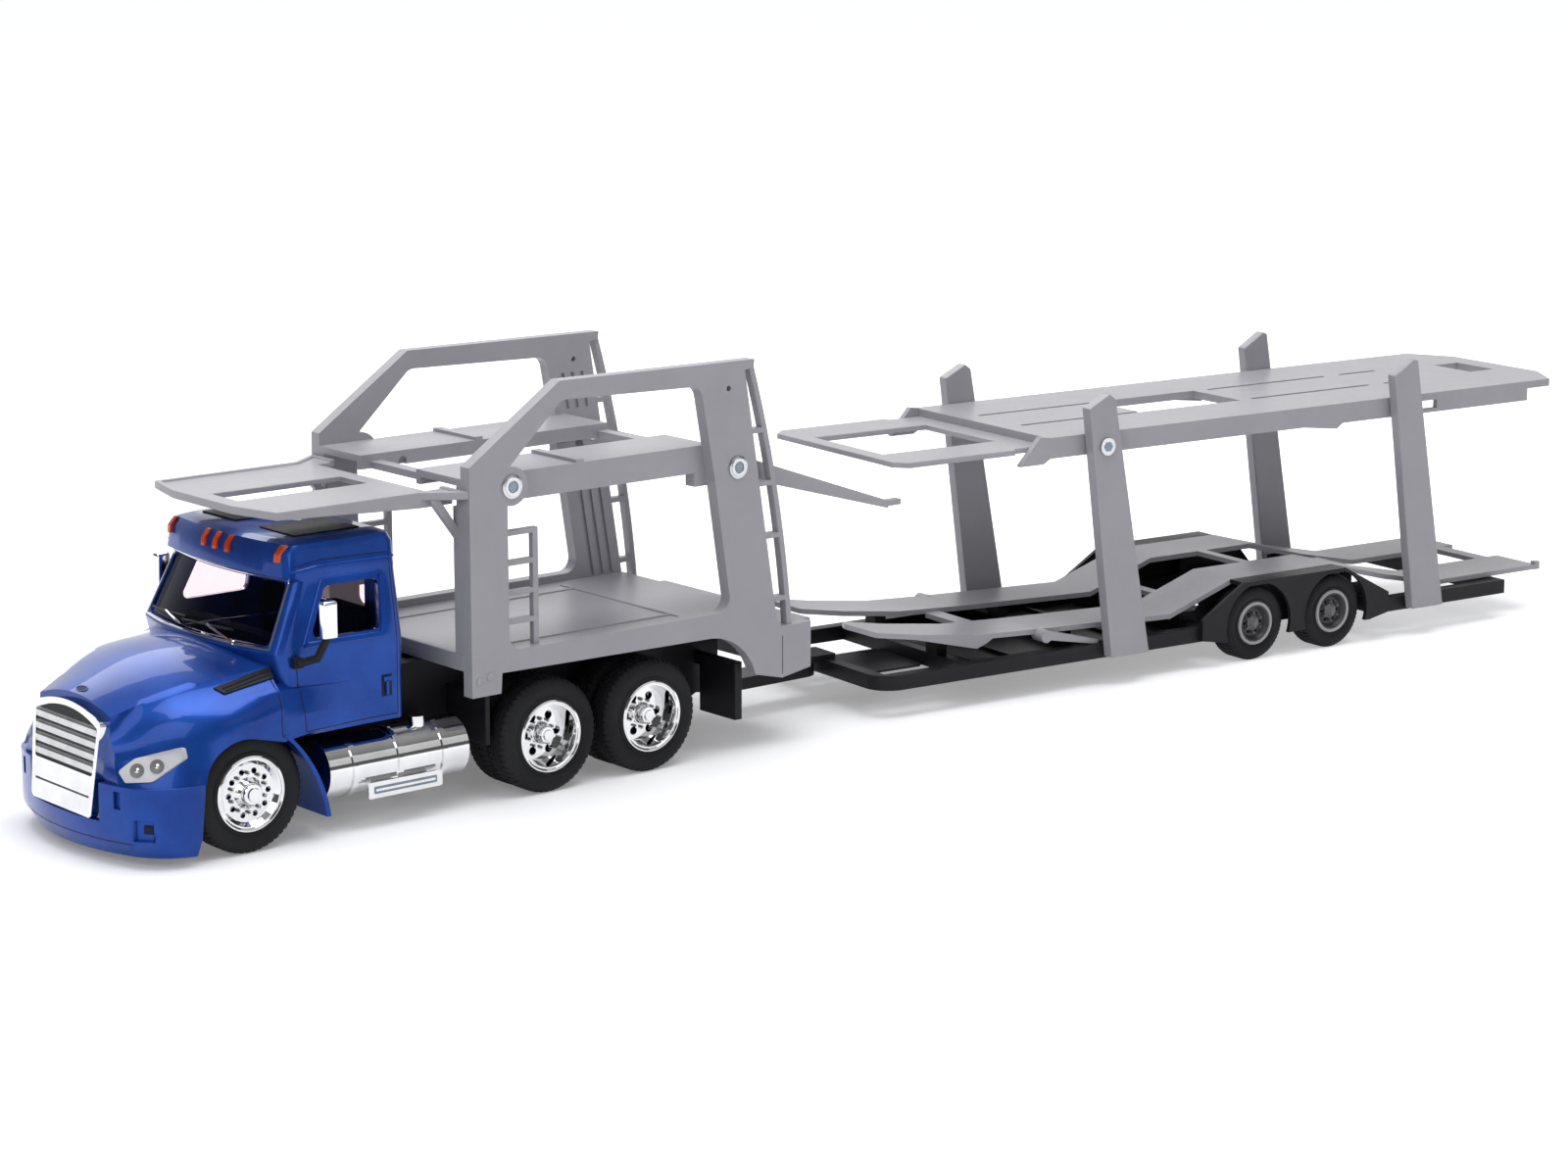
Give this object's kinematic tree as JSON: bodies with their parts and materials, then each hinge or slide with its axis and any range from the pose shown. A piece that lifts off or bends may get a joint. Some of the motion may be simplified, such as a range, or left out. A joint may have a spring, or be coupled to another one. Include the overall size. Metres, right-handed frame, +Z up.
{
  "type": "toy car transporter",
  "caption": "Toy car transporter: a bonneted tractor with car decks pulls a low trailer hinged on a stinger, with posts carrying a tilting upper deck.",
  "frame": {"origin": "on the ground, under the pivot where the trailer hangs on the stinger", "axes": "+X to the truck nose, +Y to the driver left, +Z up"},
  "size_m": [0.4051, 0.0802, 0.086],
  "materials": {
    "cab_paint": "metallic gloss",
    "glazing": "clear",
    "black_plastic": "satin",
    "chrome_plate": "polished",
    "grey_plastic": "satin",
    "lamp_lens": "gloss",
    "marker_lens": "gloss",
    "screw_steel": "plated",
    "tyre_rubber": "matt",
    "deck_plastic": "satin"
  },
  "bodies": {
    "truck": {"bumper": "cab_paint", "cab_glazing": "glazing", "cab_interior": "black_plastic", "cab_shell": "cab_paint", "deck_screws": "screw_steel", "fuel_tanks": "chrome_plate", "grille": "chrome_plate", "header": "deck_plastic", "headlights": "lamp_lens", "hitch_pin": "screw_steel", "hood_vents": "black_plastic", "lower_deck": "deck_plastic", "mirror_arms": "black_plastic", "mirror_heads": "chrome_plate", "mud_flaps": "black_plastic", "roof_markers": "marker_lens", "roof_panels": "black_plastic", "side_frame_left": "deck_plastic", "side_frame_right": "deck_plastic", "truck_chassis": "black_plastic", "upper_deck": "deck_plastic"},
    "front_axle": {"front_axle_rod": "screw_steel", "front_rims": "chrome_plate", "front_tyres": "tyre_rubber"},
    "drive_axle_1": {"drive_axle_1_rims": "chrome_plate", "drive_axle_1_rod": "screw_steel", "drive_axle_1_tyres": "tyre_rubber"},
    "drive_axle_2": {"drive_axle_2_rims": "chrome_plate", "drive_axle_2_rod": "screw_steel", "drive_axle_2_tyres": "tyre_rubber"},
    "rear_flap": {"rear_flap": "deck_plastic"},
    "trailer_axle_1": {"trailer_axle_1_rims": "grey_plastic", "trailer_axle_1_rod": "screw_steel", "trailer_axle_1_tyres": "tyre_rubber"},
    "trailer_axle_2": {"trailer_axle_2_rims": "grey_plastic", "trailer_axle_2_rod": "screw_steel", "trailer_axle_2_tyres": "tyre_rubber"},
    "trailer_upper_deck": {"trailer_upper_deck": "deck_plastic", "trailer_deck_extension": "deck_plastic"},
    "trailer": {"post_screws": "screw_steel", "trailer_fenders": "black_plastic", "trailer_frame": "black_plastic", "trailer_lower_deck": "deck_plastic", "trailer_post_front_left": "deck_plastic", "trailer_post_front_right": "deck_plastic", "trailer_post_rear_left": "deck_plastic", "trailer_post_rear_right": "deck_plastic"}
  },
  "joints": [
    {"name": "front_axle_roll", "type": "hinge", "parent": "truck", "child": "front_axle", "pos_m": [0.1613, 0, 0.0121], "axis": [0, 1, 0], "continuous": true},
    {"name": "drive_axle_1_roll", "type": "hinge", "parent": "truck", "child": "drive_axle_1", "pos_m": [0.0896, 0, 0.0121], "axis": [0, 1, 0], "continuous": true},
    {"name": "drive_axle_2_roll", "type": "hinge", "parent": "truck", "child": "drive_axle_2", "pos_m": [0.0632, 0, 0.0121], "axis": [0, 1, 0], "continuous": true},
    {"name": "trailer_pivot", "type": "hinge", "parent": "truck", "child": "trailer", "pos_m": [0, 0, 0.0104], "axis": [0, 0, 1], "range_deg": [-38.85, 51.15]},
    {"name": "trailer_axle_1_roll", "type": "hinge", "parent": "trailer", "child": "trailer_axle_1", "pos_m": [-0.11374, 0.01226, 0.009], "axis": [0.1071, 0.9942, 0], "continuous": true},
    {"name": "trailer_axle_2_roll", "type": "hinge", "parent": "trailer", "child": "trailer_axle_2", "pos_m": [-0.1381, 0.01488, 0.009], "axis": [0.1071, 0.9942, 0], "continuous": true},
    {"name": "trailer_upper_deck_tilt", "type": "hinge", "parent": "trailer", "child": "trailer_upper_deck", "pos_m": [-0.06542, 0.00705, 0.0568], "axis": [0.1071, 0.9942, 0], "range_deg": [-15, 0]},
    {"name": "truck_rear_flap_tilt", "type": "hinge", "parent": "truck", "child": "rear_flap", "pos_m": [0.0406, 0, 0.0629], "axis": [0, 1, 0], "range_deg": [-24, 0]}
  ]
}
